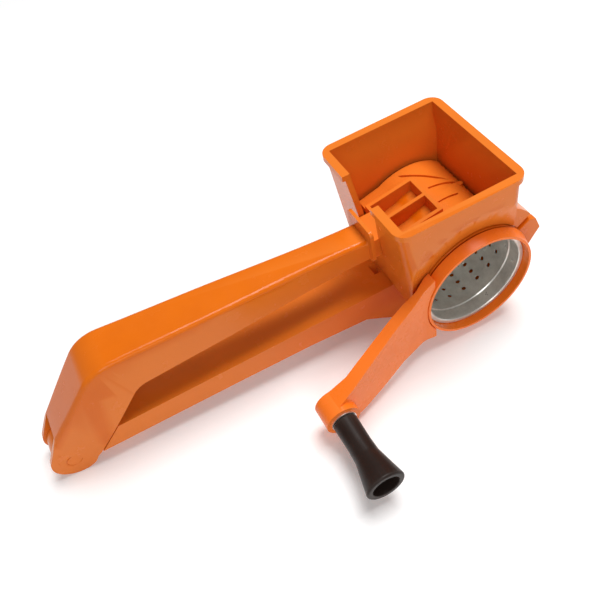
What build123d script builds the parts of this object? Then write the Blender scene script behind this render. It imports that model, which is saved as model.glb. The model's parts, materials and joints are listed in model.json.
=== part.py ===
from build123d import *
import math
import os

os.makedirs("parts", exist_ok=True)

# Driving dimensions in millimetres. The drum turns about a line parallel to Y.
# X runs along the handles from the hinge to the hopper, and Z is up.
drum_r = 22.7
drum_sheet = 0.5
drum_collar_r = drum_r + 0.4
drum_flange_r = drum_r + 1.7
drum_mouth_y = -29.2
drum_step_y = -23.0
drum_end_y = 24.0
drum_hole_d = 2.1
drum_hole_pitch = 4.8
drum_hole_rows = 8
drum_hole_columns = 18
drum_first_row_y = -16.0

barrel_bore_r = drum_flange_r + 0.28
barrel_wall = 2.2
barrel_front_y = -26.4
barrel_back_y = 29.6
back_wall = 3.2
pivot_r = 3.0
running_gap = 0.06
foot_height = 3.9
foot_length = 26.0
foot_half_depth = 16.0

hopper_left = -34.6
hopper_left_foot = -28.9
hopper_right = 20.2
hopper_half_width = 30.2
hopper_wall = 2.3
hopper_foot_z = -2.0
rim_z = 49.9
rim_height = 2.6
rim_lip = 1.3
corner_r = 4.4
guide_half = 25.2
cove_r = drum_r + 17.3
cove_depth = 3.6
slot_half_top = 10.8
slot_half_low = 8.2
slot_floor_z = 17.4
shoulder_r = barrel_bore_r + 10.62
shoulder_back_y = -10.0
window_x = -30.8
window_y = 2.6

handle_half_width = 9.9
wall = 2.2
handle_top_hinge = 0.7
handle_top_hopper = -1.8

pin_x = -180.6
pin_z = -8.1
pin_r = 3.0
ear_r = 9.3
ear_half_width = 8.5
knuckle_r = 8.0
knuckle_half_width = 5.9

arm_low_z = 17.8
arm_top_z = 28.2
arm_slope = 0.0833
arm_bend_r = 16.5
neck_left_x = -36.6
saddle_bore_r = drum_r + 1.4
saddle_r = saddle_bore_r + 2.4
saddle_half_width = 23.3
saddle_right_x = 17.2
saddle_left_x = -24.5
rib_spread = 10.9
rib_thick = 1.6

ring_front_y = -33.0
ring_back_y = -27.7
ring_bore_r = drum_flange_r + 0.35
ring_lip_r = ring_bore_r + 1.15
ring_r = ring_bore_r + 2.65
knob_x = -78.3
knob_z = -10.6
boss_r = 7.6
boss_back_y = -40.5
boss_front_y = -51.0
washer_thick = 0.6
knob_base_y = -51.9
knob_mouth_y = -83.4
knob_r = 5.2
knob_mouth_r = 8.3
knob_pin_r = 2.0

# The tool lies on its foot and its two ears, which tilts the handles by a few degrees.
barrel_r = barrel_bore_r + barrel_wall
axis_height = barrel_r + foot_height
reach = math.hypot(pin_x, pin_z)
pitch = math.asin((axis_height - ear_r) / reach) - math.atan2(-pin_z, -pin_x)
cp = math.cos(pitch)
sp = math.sin(pitch)


def place(x, y, z):
    """World point of a point given along the handles, in depth, and square to the handles."""
    return (x * cp - z * sp, y, x * sp + z * cp + axis_height)


def side(y):
    """Plane facing the front at depth y: local x runs along the handles."""
    return Plane(origin=place(0, y, 0), x_dir=(cp, 0, sp), z_dir=(0, -1, 0))


def level(z):
    """Plane square to the hopper walls at height z above the drum axis."""
    return Plane(origin=place(0, 0, z), x_dir=(cp, 0, sp), z_dir=(-sp, 0, cp))


def across(x):
    """Plane square to the handles at x: local x is Y and local y is up."""
    return Plane(origin=place(x, 0, 0), x_dir=(0, 1, 0), z_dir=(cp, 0, sp))


def polar(r, degrees):
    return (r * math.cos(math.radians(degrees)), r * math.sin(math.radians(degrees)))


def meet(p, p_slope, q, q_slope):
    """Crossing point of two sloping lines."""
    x = (q[1] - p[1] + p_slope * p[0] - q_slope * q[0]) / (p_slope - q_slope)
    return (x, p[1] + p_slope * (x - p[0]))


# Hollow of the hopper. The left wall leans in towards its foot. Below, the front and back
# walls step inward and guide the presser.
inner_half = hopper_half_width - hopper_wall
inner_left = hopper_left + hopper_wall
inner_left_foot = hopper_left_foot + hopper_wall - 0.6
inner_right = hopper_right - hopper_wall
hopper_side = [
    (inner_left - 0.6, rim_z + 5),
    (inner_left, rim_z),
    (inner_left_foot, 6.0),
    (inner_right, 6.0),
    (inner_right, rim_z + 5),
]
hopper_front = [
    (-inner_half, rim_z + 5),
    (-inner_half, 43.0),
    (-guide_half, 37.0),
    (-guide_half, 6.0),
    (guide_half, 6.0),
    (guide_half, 37.0),
    (inner_half, 43.0),
    (inner_half, rim_z + 5),
]
with BuildPart() as hopper_hollow:
    with BuildSketch(side(inner_half + 2)):
        Polygon(*hopper_side, align=None)
    extrude(amount=2 * (inner_half + 2))
    with BuildSketch(across(hopper_left - 10)):
        Polygon(*hopper_front, align=None)
    extrude(amount=hopper_right - hopper_left + 20, mode=Mode.INTERSECT)

# Body: lower handle, hopper and barrel, moulded in one.
handle_side = [
    (pin_x + 22.4, handle_top_hinge),
    (-28.0, handle_top_hopper),
    (0.0, handle_top_hopper),
    (6.0, -20.0),
    (6.0, -36.0),
    (-20.0, -36.0),
    (-31.0, -24.5),
    (-37.0, -20.4),
    (-44.0, -16.1),
    (-72.0, -13.6),
    (pin_x + 74.6, -12.1),
    (pin_x + 11.5, -10.1),
]
handle_hollow = [
    (pin_x + 28.6, handle_top_hinge - wall),
    (-30.5, handle_top_hopper - wall),
    (-27.0, -10.0),
    (-27.0, -50.0),
    (pin_x + 28.6, -50.0),
]
neck_side = [
    (pin_x, pin_z + knuckle_r),
    (pin_x + 30.6, handle_top_hinge - 0.1),
    (pin_x + 30.6, -10.3),
    (pin_x + 4.0, pin_z - knuckle_r + 1.2),
    (pin_x, pin_z),
]
slot_front = [
    (-slot_half_top, rim_z + 1),
    (-slot_half_top, rim_z - 4),
    (-slot_half_low, 30.0),
    (-slot_half_low, slot_floor_z),
    (slot_half_low, slot_floor_z),
    (slot_half_low, 30.0),
    (slot_half_top, rim_z - 4),
    (slot_half_top, rim_z + 1),
]
shoulder_side = [
    polar(barrel_bore_r, 36),
    polar(shoulder_r, 36),
    polar(shoulder_r, 42),
    polar(shoulder_r, 48),
    polar(shoulder_r, 54),
    polar(shoulder_r, 60),
    polar(barrel_bore_r, 70),
]
lock_back_y = -23.6
lock_seat_r = barrel_r + 0.75
neck_r = barrel_bore_r + 1.5
rim_mid_x = (hopper_left + hopper_right) / 2
rim_length = hopper_right - hopper_left
low_mid_x = (hopper_left_foot + hopper_right) / 2
low_length = hopper_right - hopper_left_foot
with BuildPart() as body_frame:
    with BuildSketch(side(handle_half_width)):
        Polygon(*handle_side, align=None)
    extrude(amount=2 * handle_half_width)
    with BuildSketch(side(handle_half_width - wall)):
        Polygon(*handle_hollow, align=None)
    extrude(amount=2 * (handle_half_width - wall), mode=Mode.SUBTRACT)
    with BuildSketch(side(knuckle_half_width)):
        Polygon(*neck_side, align=None)
        with Locations((pin_x, pin_z)):
            Circle(knuckle_r)
    extrude(amount=2 * knuckle_half_width)
    # Barrel and its foot.
    with BuildSketch(side(barrel_back_y)):
        Circle(barrel_r)
    extrude(amount=barrel_back_y - barrel_front_y)
    with BuildSketch(side(foot_half_depth)):
        with Locations((-6.0, -barrel_r)):
            Rectangle(foot_length, 14.0)
    extrude(amount=2 * foot_half_depth)
    # Hopper walls and rim.
    with BuildSketch(level(hopper_foot_z)):
        with Locations((low_mid_x, 0)):
            RectangleRounded(low_length, 2 * hopper_half_width, corner_r)
    with BuildSketch(level(rim_z - rim_height)):
        with Locations((rim_mid_x, 0)):
            RectangleRounded(rim_length, 2 * hopper_half_width, corner_r)
    loft()
    with BuildSketch(level(rim_z - rim_height)):
        with Locations((rim_mid_x, 0)):
            RectangleRounded(rim_length + 2 * rim_lip, 2 * (hopper_half_width + rim_lip), corner_r + rim_lip)
    extrude(amount=rim_height)
    # Shoulder that the thumb tab of the lock ring stops against.
    with BuildSketch(side(shoulder_back_y)):
        Polygon(*shoulder_side, align=None)
    extrude(amount=shoulder_back_y - barrel_front_y)
    add(hopper_hollow.part, mode=Mode.SUBTRACT)
    # Slot for the neck of the upper arm.
    with BuildSketch(across(hopper_left - 6)):
        Polygon(*slot_front, align=None)
    extrude(amount=14.0, mode=Mode.SUBTRACT)
    # Drum tunnel and rear bearing.
    with BuildSketch(side(barrel_back_y - back_wall)):
        Circle(barrel_bore_r)
    extrude(amount=60.0, mode=Mode.SUBTRACT)
    with BuildSketch(side(barrel_back_y - back_wall)):
        Circle(pivot_r + running_gap + 3.4)
    extrude(amount=1.0)
    with BuildSketch(side(barrel_back_y)):
        Circle(pivot_r + running_gap)
    extrude(amount=back_wall + 1.0, mode=Mode.SUBTRACT)
    # Seat of the lock ring, and the hollow cove around the crank ring.
    with BuildSketch(side(lock_back_y)):
        Circle(lock_seat_r)
        Circle(neck_r, mode=Mode.SUBTRACT)
    extrude(amount=12.0, mode=Mode.SUBTRACT)
    with BuildSketch(side(barrel_front_y)):
        Circle(lock_seat_r)
    extrude(amount=12.0, mode=Mode.SUBTRACT)
    with BuildSketch(side(cove_depth - hopper_half_width)):
        Circle(lock_seat_r)
    with BuildSketch(side(-hopper_half_width - 0.01)):
        Circle(cove_r)
    loft(mode=Mode.SUBTRACT)
    # Hinge bore, window in the deck, and the level underside of the foot.
    with BuildSketch(side(20.0)):
        with Locations((pin_x, pin_z)):
            Circle(pin_r + running_gap)
    extrude(amount=40.0, mode=Mode.SUBTRACT)
    with BuildSketch(level(-12.0)):
        with Locations((window_x, window_y)):
            Rectangle(3.5, 6.0)
    extrude(amount=14.0, mode=Mode.SUBTRACT)
    with BuildSketch(Plane.XY):
        Rectangle(600.0, 200.0)
    extrude(amount=-60.0, mode=Mode.SUBTRACT)

# Press arm: hollow upper handle with its leg, its ears, and the presser at the other end.
back_slope = 1.112
arm_end = (neck_left_x, arm_top_z)
heel = (pin_x - 0.3, 9.2)
bend = meet(arm_end, -arm_slope, heel, back_slope)
inner_end = (-41.0, arm_top_z + 4.4 * arm_slope - wall)
inner_heel = (heel[0] + 1.64, heel[1] - 1.47)
inner_bend = meet(inner_end, -arm_slope, inner_heel, back_slope)
arm_side = [
    arm_end,
    bend,
    heel,
    (pin_x - 7.93, pin_z + 4.86),
    (pin_x, pin_z),
    (pin_x + 8.4, -12.2),
    (pin_x + 10.6, -10.4),
    (pin_x + 37.6, arm_low_z),
    (neck_left_x, arm_low_z),
]
arm_hollow = [
    inner_end,
    inner_bend,
    inner_heel,
    (heel[0] - 10.0, heel[1] + 7.4),
    (heel[0] - 20.0, -40.0),
    (pin_x + 30.6, -40.0),
    (pin_x + 50.6, 0.0),
    (-41.0, 0.0),
]
plan_half = [
    (neck_left_x, 6.6),
    (-54.0, 6.6),
    (pin_x + 76.6, 8.7),
    (pin_x + 40.6, 9.85),
    (pin_x + 22.6, 10.3),
    (pin_x + 10.6, 9.6),
    (heel[0], ear_half_width),
    (pin_x - 11.4, ear_half_width),
]
with BuildPart() as arm_inside:
    with BuildSketch(side(14.0)):
        Polygon(*arm_hollow, align=None)
    extrude(amount=28.0)
    with BuildSketch(level(-50.0)):
        with BuildLine():
            Spline(*[(x, y - wall) for x, y in plan_half])
            Spline(*[(x, wall - y) for x, y in plan_half])
            for x, y in (plan_half[0], plan_half[-1]):
                Line((x, y - wall), (x, wall - y))
        make_face()
    extrude(amount=110.0, mode=Mode.INTERSECT)

saddle_top = [polar(saddle_r, 122.0 - 6.0 * k) for k in range(13)]
saddle_under = [polar(saddle_bore_r, 46.0 + 6.0 * k) for k in range(13)]
saddle_side = [
    (saddle_left_x, 19.8),
    *saddle_top,
    (saddle_right_x, 19.4),
    (saddle_right_x, 17.5),
    *saddle_under,
    (saddle_left_x, 17.6),
]
grooves = [
    [(-5.5, 21.0), (-2.5, 14.0), (12.5, 7.5)],
    [(0.5, 6.5), (0.5, -0.5), (15.0, 6.0)],
    [(-1.0, -3.0), (1.5, -8.0), (10.5, -2.0)],
]
rib_side = [
    (-27.2, 28.2),
    (-25.6, 28.2),
    (-4.0, 31.6),
    (-4.0, 20.0),
    (-16.0, 18.2),
    (-27.2, 18.0),
]


def along(point):
    """Run along the handles and height above the drum axis of a world point."""
    return (point.X * cp + (point.Z - axis_height) * sp, (point.Z - axis_height) * cp - point.X * sp)


def is_crest(edge):
    """True for the long outer edges of the handle's top and of the back of its leg."""
    x, z = along(edge @ 0.5)
    lengthwise = abs((edge % 0.5).X) > 0.5 and abs((edge @ 0.5).Y) > 5.0
    return lengthwise and (z > 25.0 or (x < pin_x + 21.6 and z > 12.0))


with BuildPart() as press_arm:
    with BuildSketch(side(14.0)) as arm_profile:
        Polygon(*arm_side, align=None)
        fillet(arm_profile.vertices().sort_by_distance(bend)[0], arm_bend_r)
        fillet(arm_profile.vertices().sort_by_distance((pin_x + 37.6, arm_low_z))[0], 9.0)
        with Locations((pin_x, pin_z)):
            Circle(ear_r)
    extrude(amount=28.0)
    with BuildSketch(level(-50.0)):
        with BuildLine():
            Spline(*plan_half)
            Spline(*[(x, -y) for x, y in plan_half])
            for x, y in (plan_half[0], plan_half[-1]):
                Line((x, y), (x, -y))
        make_face()
    extrude(amount=110.0, mode=Mode.INTERSECT)
    fillet(press_arm.edges().filter_by(is_crest), 2.0)
    add(arm_inside.part, mode=Mode.SUBTRACT)
    # Saddle over the drum: the shallow grooves are cut through, then backed by a thinner layer.
    with BuildSketch(side(saddle_half_width)):
        Polygon(*saddle_side, align=None)
    extrude(amount=2 * saddle_half_width)
    with BuildSketch(level(18.0)):
        for groove in grooves:
            Polygon(*groove, align=None)
    extrude(amount=12.0, mode=Mode.SUBTRACT)
    with BuildSketch(side(saddle_half_width)):
        Circle(saddle_r - 0.9)
        Circle(saddle_bore_r, mode=Mode.SUBTRACT)
        Polygon((0, 0), polar(60, 48), polar(60, 118), align=None, mode=Mode.INTERSECT)
    extrude(amount=2 * saddle_half_width)
    # Ribs from the neck over the saddle, joined by a cross rib.
    for y in (-rib_spread, 0.0, rib_spread):
        with BuildSketch(side(y + rib_thick / 2)):
            Polygon(*rib_side, align=None)
            Circle(saddle_bore_r, mode=Mode.SUBTRACT)
        extrude(amount=rib_thick)
    with BuildSketch(side(rib_spread + rib_thick / 2)):
        Polygon((-5.6, 31.35), (-4.0, 31.6), (-4.0, 24.4), (-5.6, 24.4), align=None)
        Polygon((-27.2, 28.2), (-25.6, 28.2), (-25.6, 18.0), (-27.2, 18.0), align=None)
    extrude(amount=2 * rib_spread + rib_thick)
    # Flange that closes the slot, and the neck through it.
    with BuildSketch(across(neck_left_x)):
        with Locations((0, 26.0)):
            RectangleRounded(2 * 9.4, 17.0, 2.0)
    extrude(amount=1.5)
    with BuildSketch(across(neck_left_x)):
        with Locations((0, 22.9)):
            Rectangle(15.0, 10.2)
    extrude(amount=12.6)
    # Grip notches on the free edge of the saddle, and its small nub.
    with BuildSketch(level(12.0)):
        with Locations((saddle_right_x, 0)):
            with GridLocations(1.0, 3.1, 1, 14):
                Rectangle(1.4, 1.3)
    extrude(amount=12.0, mode=Mode.SUBTRACT)
    with BuildSketch(level(18.5)):
        with Locations((saddle_right_x - 1.4, 4.6)):
            Circle(1.2)
    extrude(amount=3.4)
    with BuildSketch(side(20.0)):
        with Locations((pin_x, pin_z)):
            Circle(pin_r)
    extrude(amount=40.0, mode=Mode.SUBTRACT)
    for y, depth in ((-ear_half_width, -0.4), (ear_half_width, 0.4)):
        with BuildSketch(side(y)):
            with Locations((pin_x, pin_z)):
                Circle(pin_r + 0.35)
        extrude(amount=depth, mode=Mode.SUBTRACT)
press_arm.part.label = "press_arm"
export_step(press_arm.part, "parts/press_arm.step")

with BuildPart() as hinge_pin:
    with BuildSketch(side(ear_half_width)):
        with Locations((pin_x, pin_z)):
            Circle(pin_r)
    extrude(amount=2 * ear_half_width)
hinge_pin.part.label = "hinge_pin"
export_step(hinge_pin.part, "parts/hinge_pin.step")

# Crank: a ring that carries the drum, a bearing sleeve behind it, and a tapering arm.
crank_face = [
    (-22.0, 19.0),
    (-34.0, 13.5),
    (-44.0, 11.0),
    (-55.0, 6.8),
    (-66.0, 2.4),
    (knob_x, knob_z + boss_r),
    (knob_x, knob_z - boss_r),
    (-71.0, -20.0),
    (-65.0, -20.5),
    (-54.0, -19.0),
    (-42.0, -16.2),
    (-30.0, -16.7),
    (-22.0, -20.0),
]
crank_top = [
    (-20.0, ring_front_y + 0.8),
    (-27.5, ring_front_y),
    (-70.0, -47.0),
    (knob_x, boss_front_y + 2.0),
    (knob_x - 12.0, boss_front_y + 2.0),
    (knob_x - 12.0, boss_back_y),
    (-70.0, boss_back_y),
    (-36.0, ring_back_y - 3.2),
    (-30.0, ring_back_y - 2.6),
    (-24.0, ring_back_y),
    (-20.0, ring_back_y),
]
ring_half = [
    (ring_bore_r, ring_front_y),
    (ring_lip_r, ring_front_y),
    (ring_r, ring_back_y - 0.6),
    (ring_r - 0.6, ring_back_y),
    (barrel_bore_r - 0.08, ring_back_y),
    (barrel_bore_r - 0.08, drum_step_y - 1.0),
    (drum_collar_r, drum_step_y - 1.0),
    (drum_collar_r, drum_mouth_y + 0.6),
    (ring_bore_r, drum_mouth_y + 0.6),
]
spin_plane = Plane(origin=place(0, 0, 0), x_dir=(cp, 0, sp), z_dir=(-sp, 0, cp))
spin_axis = Axis(place(0, 0, 0), (0, 1, 0))
with BuildPart() as crank:
    with BuildSketch(side(0.0)) as crank_profile:
        Polygon(*crank_face, align=None)
        with Locations((knob_x, knob_z)):
            Circle(boss_r)
    extrude(amount=60.0)
    with BuildSketch(level(-40.0)):
        Polygon(*crank_top, align=None)
    extrude(amount=80.0, mode=Mode.INTERSECT)
    with BuildSketch(side(ring_back_y + 12)):
        Circle(ring_r - 1.0)
    extrude(amount=30.0, mode=Mode.SUBTRACT)
    with BuildSketch(spin_plane):
        Polygon(*ring_half, align=None)
    revolve(axis=spin_axis)
    with BuildSketch(side(boss_back_y)):
        with Locations((knob_x, knob_z)):
            Circle(boss_r)
    extrude(amount=boss_back_y - boss_front_y)
    with BuildSketch(side(boss_back_y - 4.0)):
        with Locations((knob_x, knob_z)):
            Circle(knob_pin_r)
    extrude(amount=20.0, mode=Mode.SUBTRACT)
crank.part.label = "crank"
export_step(crank.part, "parts/crank.step")

with BuildPart() as knob_washer:
    with BuildSketch(side(boss_front_y)):
        with Locations((knob_x, knob_z)):
            Circle(knob_r + 0.3)
            Circle(knob_pin_r, mode=Mode.SUBTRACT)
    extrude(amount=washer_thick)
knob_washer.part.label = "knob_washer"
export_step(knob_washer.part, "parts/knob_washer.step")

# Knob: a hollow flared grip that spins on its pin.
waist_y = knob_base_y + 0.55 * (knob_mouth_y - knob_base_y)
hollow_floor_y = waist_y + 1.5
knob_outer = [
    (knob_r, knob_base_y),
    (knob_r - 0.15, waist_y + 6.0),
    (knob_r + 0.1, waist_y),
    (knob_r + 1.3, waist_y - 5.5),
    (knob_mouth_r, knob_mouth_y + 0.7),
    (knob_mouth_r - 0.6, knob_mouth_y),
]
knob_inner = [
    (knob_mouth_r - 2.5, knob_mouth_y),
    (knob_r - 1.2, hollow_floor_y),
    (knob_pin_r + 0.08, hollow_floor_y),
    (knob_pin_r + 0.08, knob_base_y),
]
knob_plane = Plane(origin=place(knob_x, 0, knob_z), x_dir=(cp, 0, sp), z_dir=(-sp, 0, cp))
knob_axis = Axis(place(knob_x, 0, knob_z), (0, 1, 0))
with BuildPart() as crank_knob:
    with BuildSketch(knob_plane):
        Polygon(*knob_outer, *knob_inner, align=None)
    revolve(axis=knob_axis)
crank_knob.part.label = "crank_knob"
export_step(crank_knob.part, "parts/crank_knob.step")

pin_head_y = hollow_floor_y - 0.3
with BuildPart() as knob_pin:
    with BuildSketch(side(boss_back_y - 4.0)):
        with Locations((knob_x, knob_z)):
            Circle(knob_pin_r)
    extrude(amount=boss_back_y - 4.0 - pin_head_y)
    with BuildSketch(side(pin_head_y)):
        with Locations((knob_x, knob_z)):
            Circle(knob_r - 1.9)
    extrude(amount=1.5)
knob_pin.part.label = "knob_pin"
export_step(knob_pin.part, "parts/knob_pin.step")

# Drum: thin steel tube with a rolled mouth flange, a plain collar, and rows of holes.
drum_half = [
    (drum_flange_r, drum_mouth_y),
    (drum_flange_r, drum_mouth_y + 0.55),
    (drum_collar_r, drum_mouth_y + 0.55),
    (drum_collar_r, drum_step_y),
    (drum_r, drum_step_y + 0.5),
    (drum_r, drum_end_y),
    (drum_r - drum_sheet, drum_end_y),
    (drum_r - drum_sheet, drum_step_y + 0.6),
    (drum_collar_r - drum_sheet, drum_step_y + 0.1),
    (drum_collar_r - drum_sheet, drum_mouth_y + 0.4),
    (drum_collar_r - drum_sheet + 0.4, drum_mouth_y),
]
with BuildPart() as drum_shell:
    with BuildSketch(spin_plane):
        Polygon(*drum_half, align=None)
    revolve(axis=spin_axis)
    last_row_y = drum_first_row_y + drum_hole_pitch * (drum_hole_rows - 1)
    for k in range(drum_hole_columns // 2):
        turn = 360.0 / drum_hole_columns * k
        radial = Plane(
            origin=place(0, (drum_first_row_y + last_row_y) / 2, 0),
            x_dir=(0, 1, 0),
            z_dir=(math.cos(math.radians(turn) + pitch), 0, math.sin(math.radians(turn) + pitch)),
        )
        with BuildSketch(radial):
            with GridLocations(drum_hole_pitch, 1.0, drum_hole_rows, 1):
                Circle(drum_hole_d / 2)
        extrude(amount=30.0, both=True, mode=Mode.SUBTRACT)
drum_shell.part.label = "drum_shell"
export_step(drum_shell.part, "parts/drum_shell.step")

cap_back_y = drum_end_y - 0.4
with BuildPart() as drum_end_cap:
    with BuildSketch(side(cap_back_y)):
        Circle(drum_r - drum_sheet)
    extrude(amount=3.6)
    with BuildSketch(side(cap_back_y - 1.2)):
        Circle(drum_r - drum_sheet - 1.0)
        Circle(pivot_r + 2.2, mode=Mode.SUBTRACT)
    extrude(amount=6.0, mode=Mode.SUBTRACT)
    with BuildSketch(side(cap_back_y)):
        Circle(pivot_r)
    extrude(amount=6.0, mode=Mode.SUBTRACT)
drum_end_cap.part.label = "drum_end_cap"
export_step(drum_end_cap.part, "parts/drum_end_cap.step")

with BuildPart() as drum_pivot:
    with BuildSketch(side(barrel_back_y - 0.3)):
        Circle(pivot_r)
    extrude(amount=barrel_back_y - 0.3 - cap_back_y + 3.6)
    fillet(drum_pivot.edges().sort_by(Axis.Y)[-1], 0.6)
drum_pivot.part.label = "drum_pivot"
export_step(drum_pivot.part, "parts/drum_pivot.step")

# Lock ring around the front neck of the barrel, with its thumb tab.
lock_front_y = -27.3
lock_tab = [
    polar(neck_r + 0.6, 33),
    polar(shoulder_r - 1.8, 33.5),
    polar(shoulder_r + 0.2, 28.5),
    polar(shoulder_r + 0.2, 17),
    polar(barrel_r + 1.6, 4),
    polar(neck_r + 0.6, 4),
]
with BuildPart() as lock_ring:
    with BuildSketch(side(lock_back_y - 0.3)):
        Circle(lock_seat_r - 0.35)
        Polygon(*lock_tab, align=None)
        Circle(neck_r + 0.08, mode=Mode.SUBTRACT)
    extrude(amount=lock_back_y - 0.3 - lock_front_y)
    with BuildSketch(side(barrel_front_y - 0.3)):
        Circle(neck_r + 0.5)
        Circle(barrel_bore_r + 0.3, mode=Mode.SUBTRACT)
    extrude(amount=barrel_front_y - 0.3 - lock_front_y)
lock_ring.part.label = "lock_ring"
export_step(lock_ring.part, "parts/lock_ring.step")

body_frame.part.label = "body_frame"
export_step(body_frame.part, "parts/body_frame.step")
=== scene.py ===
# %% [markdown]
# # A hand-cranked rotary cheese grater
# Cheese goes in the square hopper, the upper handle presses it on a turning drum of sheet
# steel, and the gratings come out of the drum's open mouth. The exact shapes come from the
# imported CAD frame. This lesson dresses them: it rounds the moulded edges, raises the burrs
# on the drum, and gives each piece the finish of its real material.

# %% Load the frame
import json
import math

import bmesh
import bpy
from mathutils import Matrix, Vector


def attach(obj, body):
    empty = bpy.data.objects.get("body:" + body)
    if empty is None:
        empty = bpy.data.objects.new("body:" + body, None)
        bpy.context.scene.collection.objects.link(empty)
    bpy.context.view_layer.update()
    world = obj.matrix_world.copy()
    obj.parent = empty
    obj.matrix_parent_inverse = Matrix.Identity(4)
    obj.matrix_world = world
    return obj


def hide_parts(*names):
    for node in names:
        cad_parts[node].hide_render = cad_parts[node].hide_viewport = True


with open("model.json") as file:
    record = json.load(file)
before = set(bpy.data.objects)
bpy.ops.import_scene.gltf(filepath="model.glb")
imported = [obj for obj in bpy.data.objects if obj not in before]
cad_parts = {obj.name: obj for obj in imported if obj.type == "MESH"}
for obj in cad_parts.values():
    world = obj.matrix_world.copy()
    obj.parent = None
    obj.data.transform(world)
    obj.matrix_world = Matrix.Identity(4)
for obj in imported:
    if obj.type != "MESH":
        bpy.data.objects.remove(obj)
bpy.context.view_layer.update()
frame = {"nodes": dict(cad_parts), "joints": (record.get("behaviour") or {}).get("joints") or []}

# %% [markdown]
# ## Where things are
# The tool lies on its foot and on the ears of its hinge, so the handles lean by about four
# degrees. It is easier to think along the handles: x runs from the hinge to the hopper, y is
# the drum's axis, and z is square to both, all measured in millimetres from the drum axis.

# %% The lean of the handles
MM = 0.001
HINGE_X, HINGE_Z = -180.6, -8.1
joints = {joint["name"]: joint for joint in frame["joints"]}
drum_axis = Vector(joints["crank_turn"]["pos_m"])
hinge = Vector(joints["arm_hinge"]["pos_m"])
laid_slope = math.atan2(drum_axis.z - hinge.z, drum_axis.x - hinge.x)
lean = laid_slope - math.atan2(-HINGE_Z, -HINGE_X)
to_world = Matrix.Translation(drum_axis) @ Matrix.Rotation(-lean, 4, "Y")
to_handles = to_world.inverted()


def handle_point(vertex):
    """A mesh vertex as a point along the handles, in millimetres."""
    return (to_handles @ vertex.co) / MM


print("lean in degrees:", round(math.degrees(lean), 2))
print("drum axis:", [round(c, 4) for c in drum_axis])

# %% [markdown]
# ## Camera
# The camera looks down from the crank's side, turned a little on its own axis, so that the
# handles run across the view. A lens near 41 mm keeps the perspective gentle.

# %% Camera
CAMERA_PLACE = (-0.13292, -0.178, 0.25784)
CAMERA_TURNS = ((-20.98, "Z"), (39.70, "X"), (-8.48, "Z"))
camera_data = bpy.data.cameras.new("camera")
camera_data.lens = 40.8
camera_data.sensor_width = 36.0
camera_data.shift_x = -0.008
camera_data.shift_y = -0.0056
camera_data.clip_start = 0.01
camera_data.clip_end = 20.0
camera = bpy.data.objects.new("camera", camera_data)
bpy.context.scene.collection.objects.link(camera)
bpy.context.scene.camera = camera
place = Matrix.Translation(CAMERA_PLACE)
for degrees, axis in CAMERA_TURNS:
    place = place @ Matrix.Rotation(math.radians(degrees), 4, axis)
camera.matrix_world = place
print("camera at", CAMERA_PLACE)

# %% [markdown]
# ## Light and floor
# A bright sweep of white paper under soft light from above. The paper glows a little by
# itself, as an overlit sweep does, so only the faintest shadow stays under the tool.

# %% Floor
FLOOR_HALF = 3.0
FLOOR_GLOW = 0.12
FLOOR_GAP = 0.0002
floor_mesh = bpy.data.meshes.new("floor")
signs = ((-1, -1), (1, -1), (1, 1), (-1, 1))
corners = [(x * FLOOR_HALF, y * FLOOR_HALF, 0) for x, y in signs]
floor_mesh.from_pydata(corners, [], [(0, 1, 2, 3)])
floor = bpy.data.objects.new("floor", floor_mesh)
bpy.context.scene.collection.objects.link(floor)
floor.location.z = -FLOOR_GAP
paper = bpy.data.materials.new("white_paper")
paper.use_nodes = True
paper_shader = paper.node_tree.nodes["Principled BSDF"]
paper_shader.inputs["Base Color"].default_value = (0.93, 0.93, 0.93, 1)
paper_shader.inputs["Roughness"].default_value = 0.7
paper_shader.inputs["Specular IOR Level"].default_value = 0.15
paper_shader.inputs["Emission Color"].default_value = (1, 1, 1, 1)
paper_shader.inputs["Emission Strength"].default_value = FLOOR_GLOW
floor_mesh.materials.append(paper)
print("floor half size in m:", FLOOR_HALF)

# %% Lights
AIR_LIGHT = 0.22
bpy.context.scene.view_settings.view_transform = "Standard"
surroundings = bpy.data.worlds.new("studio")
bpy.context.scene.world = surroundings
surroundings.use_nodes = True
sky = surroundings.node_tree.nodes["Background"]
sky.inputs["Color"].default_value = (1.0, 1.0, 1.0, 1)
sky.inputs["Strength"].default_value = AIR_LIGHT


def soft_lamp(name, spot, target, width, power):
    """A square area lamp that looks at a point."""
    data = bpy.data.lights.new(name, "AREA")
    data.shape = "SQUARE"
    data.size = width
    data.energy = power
    lamp = bpy.data.objects.new(name, data)
    bpy.context.scene.collection.objects.link(lamp)
    lamp.location = spot
    lamp.rotation_euler = (Vector(target) - Vector(spot)).to_track_quat("-Z", "Y").to_euler()
    print("lamp", name, power, "W")


soft_lamp("top", (0.18, 0.10, 1.15), (-0.05, 0, 0), 0.6, 12.4)
soft_lamp("front", (-0.35, -1.1, 0.75), (-0.05, 0, 0), 0.6, 4.2)

# %% [markdown]
# ## Moulded plastic
# Injection-moulded plastic is one colour all through, with a soft gloss. What makes it look
# real is small: faint clouding, slightly uneven gloss, a skin that is not quite flat, and
# corners rubbed a little paler by years of use. The same recipe serves the frame, the
# crank's copy of the orange made brighter as painted light, and the black knob, which is the
# most worn.

# %% Plastic finish


def add(tree, kind, **values):
    """Adds a shader node and sets its plain properties."""
    made = tree.nodes.new(kind)
    for key, value in values.items():
        setattr(made, key, value)
    return made


def noise(tree, coordinates, scale, detail=3.0, roughness=0.5):
    """Even cloud noise of a size given in cycles per metre."""
    made = add(tree, "ShaderNodeTexNoise")
    made.inputs["Scale"].default_value = scale
    made.inputs["Detail"].default_value = detail
    made.inputs["Roughness"].default_value = roughness
    tree.links.new(coordinates, made.inputs["Vector"])
    return made.outputs["Fac"]


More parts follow.
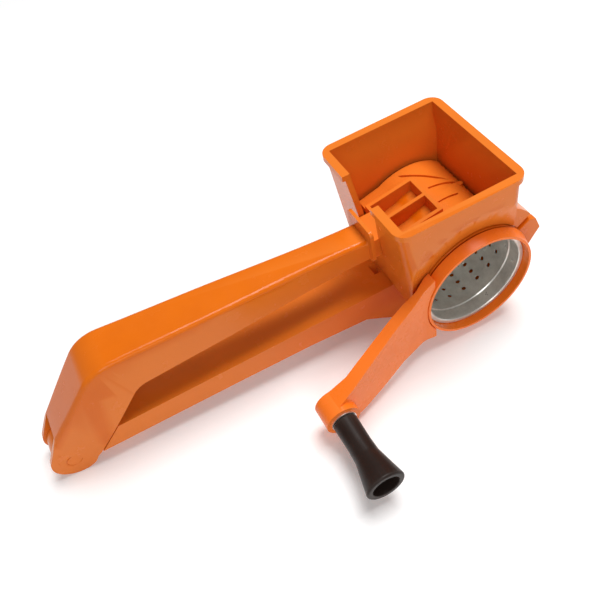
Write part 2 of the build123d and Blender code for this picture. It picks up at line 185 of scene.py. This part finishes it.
def spread(tree, source, low, high, from_low=0.3, from_high=0.7):
    """Maps one range of values to another."""
    made = add(tree, "ShaderNodeMapRange")
    made.inputs["From Min"].default_value = from_low
    made.inputs["From Max"].default_value = from_high
    made.inputs["To Min"].default_value = low
    made.inputs["To Max"].default_value = high
    tree.links.new(source, made.inputs["Value"])
    return made.outputs["Result"]


def blend(tree, factor, first, second):
    """Mixes two colours, each given as a value or as another node's output."""
    made = add(tree, "ShaderNodeMix", data_type="RGBA")
    tree.links.new(factor, made.inputs[0])
    for socket, colour in ((made.inputs[6], first), (made.inputs[7], second)):
        if isinstance(colour, tuple):
            socket.default_value = (*colour, 1)
        else:
            tree.links.new(colour, socket)
    return made.outputs[2]


def bump(tree, height, strength, depth, under=None):
    """Turns a height into a small relief, on top of another relief if one is given."""
    made = add(tree, "ShaderNodeBump")
    made.inputs["Strength"].default_value = strength
    made.inputs["Distance"].default_value = depth
    tree.links.new(height, made.inputs["Height"])
    if under is not None:
        tree.links.new(under, made.inputs["Normal"])
    return made.outputs["Normal"]


def stretched(tree, coordinates, scale, turn=(0, 0, 0)):
    """Coordinates pulled out along one direction, for scratches and rolled grain."""
    made = add(tree, "ShaderNodeMapping")
    made.inputs["Scale"].default_value = scale
    made.inputs["Rotation"].default_value = turn
    tree.links.new(coordinates, made.inputs["Vector"])
    return made.outputs["Vector"]


CLOUDS_PER_M, SMUDGES_PER_M, RIPPLES_PER_M = 30.0, 95.0, 140.0
RIPPLE_DEPTH = 0.0005
HAIR_STRETCH, HAIR_TURN = (30.0, 1500.0, 1500.0), (0.2, 0.1, 0.5)
HAIR_DEPTH = 0.000008
CORNER_FROM, CORNER_TO = 0.51, 0.58


def plastic(name, colour, shade, worn, gloss, wear=0.35, scratches=0.2, shine=0.2):
    """Moulded plastic: clouded colour, paler corners, uneven gloss and hair scratches."""
    material = bpy.data.materials.new(name)
    material.use_nodes = True
    tree = material.node_tree
    shader = tree.nodes["Principled BSDF"]
    coordinates = add(tree, "ShaderNodeTexCoord").outputs["Object"]
    clouds = spread(tree, noise(tree, coordinates, CLOUDS_PER_M, 4.0, 0.6), 0.0, 1.0)
    corner = add(tree, "ShaderNodeNewGeometry").outputs["Pointiness"]
    rubbed = spread(tree, corner, 0.0, wear, CORNER_FROM, CORNER_TO)
    body_colour = blend(tree, clouds, colour, shade)
    tree.links.new(blend(tree, rubbed, body_colour, worn), shader.inputs["Base Color"])
    smudges = noise(tree, coordinates, SMUDGES_PER_M, 5.0, 0.65)
    roughness = spread(tree, smudges, gloss - 0.05, gloss + 0.08)
    tree.links.new(roughness, shader.inputs["Roughness"])
    skin = bump(tree, noise(tree, coordinates, RIPPLES_PER_M, 2.0, 0.4), 0.05, RIPPLE_DEPTH)
    lines = noise(tree, stretched(tree, coordinates, HAIR_STRETCH, HAIR_TURN), 1.0, 1.0)
    hairs = bump(tree, spread(tree, lines, 0.0, 1.0, 0.6, 0.75), scratches, HAIR_DEPTH, skin)
    tree.links.new(hairs, shader.inputs["Normal"])
    shader.inputs["Specular IOR Level"].default_value = shine
    print("finish:", name)
    return material


orange = plastic(
    "orange_plastic",
    colour=(0.76, 0.155, 0.003),
    shade=(0.68, 0.13, 0.002),
    worn=(0.90, 0.28, 0.05),
    gloss=0.22,
)
# The crank's orange is a brighter copy of the frame's: painted light for the light its upward
# faces catch.
crank_orange_painted_bright = plastic(
    "crank_plastic",
    colour=(0.98, 0.20, 0.015),
    shade=(0.90, 0.175, 0.012),
    worn=(0.95, 0.30, 0.10),
    gloss=0.26,
)
black = plastic(
    "black_plastic",
    colour=(0.018, 0.010, 0.008),
    shade=(0.032, 0.021, 0.017),
    worn=(0.09, 0.075, 0.065),
    gloss=0.36,
    wear=0.8,
    scratches=0.5,
    shine=0.15,
)

# %% [markdown]
# ## Drum steel
# The drum is rolled from thin tinned sheet, so its grain runs round it. Years of washing
# have left it dull and a little mottled. Pins and washers are turned, and stay brighter.

# %% Steel finish


MOTTLE_PER_M = 120.0
GRAIN_STRETCH = (90.0, 2600.0, 90.0)
GRAIN_DEPTH = 0.00003


def steel(name, colour, shade, rough_low, rough_high, metal):
    """Dull sheet steel with a mottled colour and a fine grain round the drum's axis."""
    material = bpy.data.materials.new(name)
    material.use_nodes = True
    tree = material.node_tree
    shader = tree.nodes["Principled BSDF"]
    shader.inputs["Metallic"].default_value = metal
    coordinates = add(tree, "ShaderNodeTexCoord").outputs["Object"]
    mottle = noise(tree, coordinates, MOTTLE_PER_M, 5.0, 0.65)
    mottled = blend(tree, spread(tree, mottle, 0.0, 1.0), colour, shade)
    tree.links.new(mottled, shader.inputs["Base Color"])
    tree.links.new(spread(tree, mottle, rough_low, rough_high), shader.inputs["Roughness"])
    grain = noise(tree, stretched(tree, coordinates, GRAIN_STRETCH), 1.0, 3.0, 0.6)
    tree.links.new(bump(tree, grain, 0.25, GRAIN_DEPTH), shader.inputs["Normal"])
    print("finish:", name)
    return material


drum_steel = steel("drum_steel", (0.90, 0.89, 0.83), (0.60, 0.59, 0.54), 0.26, 0.44, 0.6)
bright_steel = steel("bright_steel", (0.80, 0.79, 0.76), (0.66, 0.65, 0.62), 0.22, 0.36, 0.85)

# %% [markdown]
# ## Rounded edges
# A mould leaves no razor edges. Each moulding's exact shape is copied from the frame, its
# loose triangles are merged back into clean faces, and every sharp edge gets a small round.
# Edges a hand meets are rounded more: the hopper's rim, the long edges of both handles and
# the crank's arm. Edges inside a fit, such as the crank's ring, stay crisp.

# %% Softened copies of the mouldings
SHARP_DEGREES = 28.0
CREASE_DEGREES = 35.0
MERGE_MM = 0.002
FLAT_DEGREES = 0.5
ROUND_STEPS = 3
CRISP = 0.35
RIM_Z = 49.0
HANDLE_SIDE_Y = 9.2
LOWER_HANDLE_X = (-170.0, -37.0)
UPPER_HANDLE_X = -38.0
CRANK_RING_R = 29.0


def rim_and_handle(a, b):
    """The hopper's rim and the long edges of the lower handle."""
    on_rim = min(a.z, b.z) > RIM_Z
    hinge_end, hopper_end = LOWER_HANDLE_X
    on_side = min(abs(a.y), abs(b.y)) > HANDLE_SIDE_Y
    on_handle = on_side and hinge_end < max(a.x, b.x) < hopper_end
    return 1.0 if on_rim else 0.6 if on_handle else CRISP


def arm_sides(a, b):
    """The long edges of the upper handle and its leg."""
    on_side = min(abs(a.y), abs(b.y)) > HANDLE_SIDE_Y
    return 1.0 if on_side and max(a.x, b.x) < UPPER_HANDLE_X else CRISP


def crank_arm(a, b):
    """The crank's arm, away from its ring."""
    nearest = min(math.hypot(a.x, a.z), math.hypot(b.x, b.z))
    return 1.0 if nearest > CRANK_RING_R else CRISP


def everywhere(a, b):
    """Every sharp edge alike."""
    return 1.0


def plain_mesh(obj):
    """The object's mesh with its modifiers worked in; the modifiers are then removed."""
    graph = bpy.context.evaluated_depsgraph_get()
    made = bpy.data.meshes.new_from_object(obj.evaluated_get(graph))
    obj.modifiers.clear()
    return made


def soften(name, width, share):
    """A copy of a CAD node with its sharp edges rounded by `share` of a width in mm."""
    mesh = frame["nodes"][name].data.copy()
    bm = bmesh.new()
    bm.from_mesh(mesh)
    bmesh.ops.remove_doubles(bm, verts=bm.verts, dist=MERGE_MM * MM)
    flat = math.radians(FLAT_DEGREES)
    bmesh.ops.dissolve_limit(bm, angle_limit=flat, verts=bm.verts, edges=bm.edges)
    weight = bm.edges.layers.float.new("bevel_weight_edge")
    for edge in bm.edges:
        if len(edge.link_faces) == 2 and edge.calc_face_angle(0.0) > math.radians(SHARP_DEGREES):
            edge[weight] = share(*[handle_point(vertex) for vertex in edge.verts])
    bm.to_mesh(mesh)
    bm.free()
    mesh.materials.clear()
    made = bpy.data.objects.new(name + "_rounded", mesh)
    bpy.context.scene.collection.objects.link(made)
    bevel = made.modifiers.new("round", "BEVEL")
    bevel.width = width * MM
    bevel.segments = ROUND_STEPS
    bevel.limit_method = "WEIGHT"
    rounded = plain_mesh(made)
    rounded.polygons.foreach_set("use_smooth", [True] * len(rounded.polygons))
    rounded.set_sharp_from_angle(angle=math.radians(CREASE_DEGREES))
    made.data = rounded
    evened = made.modifiers.new("even_normals", "WEIGHTED_NORMAL")
    evened.keep_sharp = True
    made.data = plain_mesh(made)
    print(name, "rounded:", len(made.data.polygons), "faces")
    return made


MOULDINGS = (
    ("body_frame", orange, "frame", "orange_plastic", 1.15, rim_and_handle),
    ("press_arm", orange, "arm", "orange_plastic", 1.0, arm_sides),
    ("crank", crank_orange_painted_bright, "crank_drum", "crank_plastic", 0.9, crank_arm),
    ("lock_ring", orange, "lock", "orange_plastic", 0.3, everywhere),
    ("crank_knob", black, "knob", "black_plastic", 0.4, everywhere),
)
for name, material, body, slot, width, share in MOULDINGS:
    piece = soften(name, width, share)
    piece.data.materials.append(material)
    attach(piece, body)
    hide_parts(name)

# %% [markdown]
# ## Burrs of the drum
# The drum's holes are punched from inside, and the torn lips that stand up outside are what
# grates the cheese. One small three-sided lip is laid round every hole, row by row along the
# drum and column by column round it, so Geometry Nodes can place all of them from seven numbers.

# %% Burr lips by Geometry Nodes
BURRS = {
    "Rows": 8,
    "Columns": 18,
    "Drum Radius": 22.72 * MM,
    "First Row": -16.0 * MM,
    "Row Pitch": 4.8 * MM,
    "Lip Radius": 1.16 * MM,
    "Lip Height": 0.26 * MM,
}
LIP_STEPS, LIP_SIDES = 12, 3
lips = bpy.data.node_groups.new("burr_lips", "GeometryNodeTree")
lips.interface.new_socket("Geometry", in_out="OUTPUT", socket_type="NodeSocketGeometry")
sockets = {}
for label, value in BURRS.items():
    kind = "NodeSocketInt" if isinstance(value, int) else "NodeSocketFloat"
    sockets[label] = lips.interface.new_socket(label, in_out="INPUT", socket_type=kind)
given = lips.nodes.new("NodeGroupInput").outputs
result = lips.nodes.new("NodeGroupOutput")


def link(source, target):
    lips.links.new(source, target)


def sum_of(operation, first, second):
    """One arithmetic step on fields."""
    made = lips.nodes.new("ShaderNodeMath")
    made.operation = operation
    for socket, value in zip(made.inputs, (first, second)):
        if isinstance(value, (int, float)):
            socket.default_value = value
        else:
            link(value, socket)
    return made.outputs[0]


line = lips.nodes.new("GeometryNodeMeshLine")
link(sum_of("MULTIPLY", given["Rows"], given["Columns"]), line.inputs["Count"])
index = lips.nodes.new("GeometryNodeInputIndex").outputs[0]
row = sum_of("FLOOR", sum_of("DIVIDE", index, given["Columns"]), 0)
column = sum_of("MODULO", index, given["Columns"])
turned = sum_of("DIVIDE", sum_of("MULTIPLY", column, math.tau), given["Columns"])
angle = sum_of("ADD", turned, lean)
across, upward = sum_of("COSINE", angle, 0), sum_of("SINE", angle, 0)
outward = lips.nodes.new("ShaderNodeCombineXYZ")
link(across, outward.inputs["X"])
link(upward, outward.inputs["Z"])
centre = lips.nodes.new("ShaderNodeCombineXYZ")
along = sum_of("ADD", given["First Row"], sum_of("MULTIPLY", row, given["Row Pitch"]))
link(sum_of("MULTIPLY", across, given["Drum Radius"]), centre.inputs["X"])
link(along, centre.inputs["Y"])
link(sum_of("MULTIPLY", upward, given["Drum Radius"]), centre.inputs["Z"])
spots = lips.nodes.new("GeometryNodeSetPosition")
link(line.outputs["Mesh"], spots.inputs["Geometry"])
link(centre.outputs[0], spots.inputs["Position"])
loop = lips.nodes.new("GeometryNodeCurvePrimitiveCircle")
loop.inputs["Resolution"].default_value = LIP_STEPS
link(given["Lip Radius"], loop.inputs["Radius"])
section = lips.nodes.new("GeometryNodeCurvePrimitiveCircle")
section.inputs["Resolution"].default_value = LIP_SIDES
link(given["Lip Height"], section.inputs["Radius"])
lip = lips.nodes.new("GeometryNodeCurveToMesh")
link(loop.outputs["Curve"], lip.inputs["Curve"])
link(section.outputs["Curve"], lip.inputs["Profile Curve"])
facing = lips.nodes.new("FunctionNodeAlignRotationToVector")
facing.axis = "Z"
link(outward.outputs[0], facing.inputs["Vector"])
copies = lips.nodes.new("GeometryNodeInstanceOnPoints")
link(spots.outputs["Geometry"], copies.inputs["Points"])
link(lip.outputs["Mesh"], copies.inputs["Instance"])
link(facing.outputs[0], copies.inputs["Rotation"])
shift = lips.nodes.new("GeometryNodeTransform")
shift.inputs["Translation"].default_value = drum_axis
link(copies.outputs["Instances"], shift.inputs["Geometry"])
solid = lips.nodes.new("GeometryNodeRealizeInstances")
link(shift.outputs["Geometry"], solid.inputs["Geometry"])
finish = lips.nodes.new("GeometryNodeSetMaterial")
finish.inputs["Material"].default_value = drum_steel
link(solid.outputs["Geometry"], finish.inputs["Geometry"])
link(finish.outputs["Geometry"], result.inputs["Geometry"])

burrs = bpy.data.objects.new("drum_burrs", bpy.data.meshes.new("drum_burrs"))
bpy.context.scene.collection.objects.link(burrs)
maker = burrs.modifiers.new("burr_lips", "NODES")
maker.node_group = lips
for label, value in BURRS.items():
    maker[sockets[label].identifier] = value
burrs.data = plain_mesh(burrs)
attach(burrs, "crank_drum")
print("burr lips:", BURRS["Rows"] * BURRS["Columns"], "faces:", len(burrs.data.polygons))

# %% [markdown]
# ## Metal pieces and the hinge pin
# The drum, its end cap and the pins keep the exact shape of the frame. Their edges are too
# thin to round, so only their finish is new. The hinge pin is moulded with the frame's plastic.

# %% Finishes of the kept shapes
KEPT = (
    ("drum_shell", drum_steel),
    ("drum_end_cap", drum_steel),
    ("drum_pivot", bright_steel),
    ("knob_pin", bright_steel),
    ("knob_washer", bright_steel),
    ("hinge_pin", orange),
)
for name, material in KEPT:
    mesh = frame["nodes"][name].data
    mesh.materials.clear()
    mesh.materials.append(material)
    print("kept:", name)
